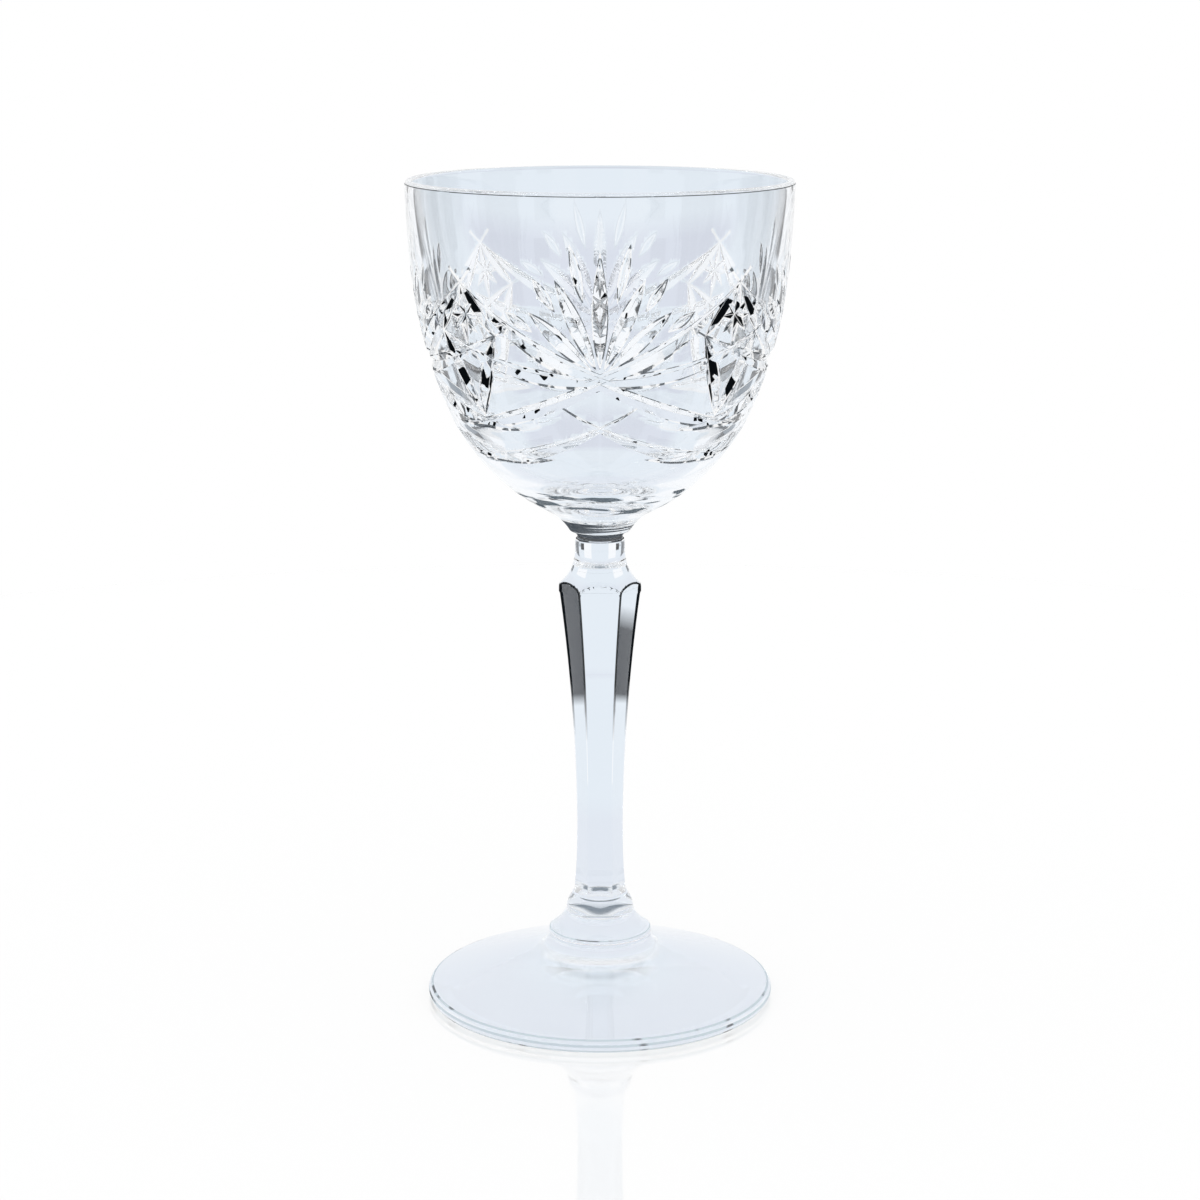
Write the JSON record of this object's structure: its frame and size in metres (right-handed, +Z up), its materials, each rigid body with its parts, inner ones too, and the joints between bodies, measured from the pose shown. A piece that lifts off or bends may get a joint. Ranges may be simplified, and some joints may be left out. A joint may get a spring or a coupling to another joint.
{
  "type": "cocktail glass",
  "caption": "Stemmed cut-crystal cocktail glass: deep U-shaped bowl with mitre-cut fans, straps and stars, hexagonal panelled stem and round conical foot.",
  "frame": {"origin": "middle of the ring that the foot stands on, on the table surface", "axes": "+Z up along the stem to the rim; -Y is the front, where one cut fan and one flat of the stem face the viewer"},
  "size_m": [0.075, 0.075, 0.165],
  "materials": {
    "bowl_glass": "fire-polished clear crystal with acid-polished mitre cuts",
    "stem_glass": "clear crystal, ground and polished panels",
    "foot_glass": "fire-polished clear crystal"
  },
  "bodies": {
    "root": {"bowl": "bowl_glass", "stem": "stem_glass", "foot": "foot_glass"}
  },
  "joints": []
}
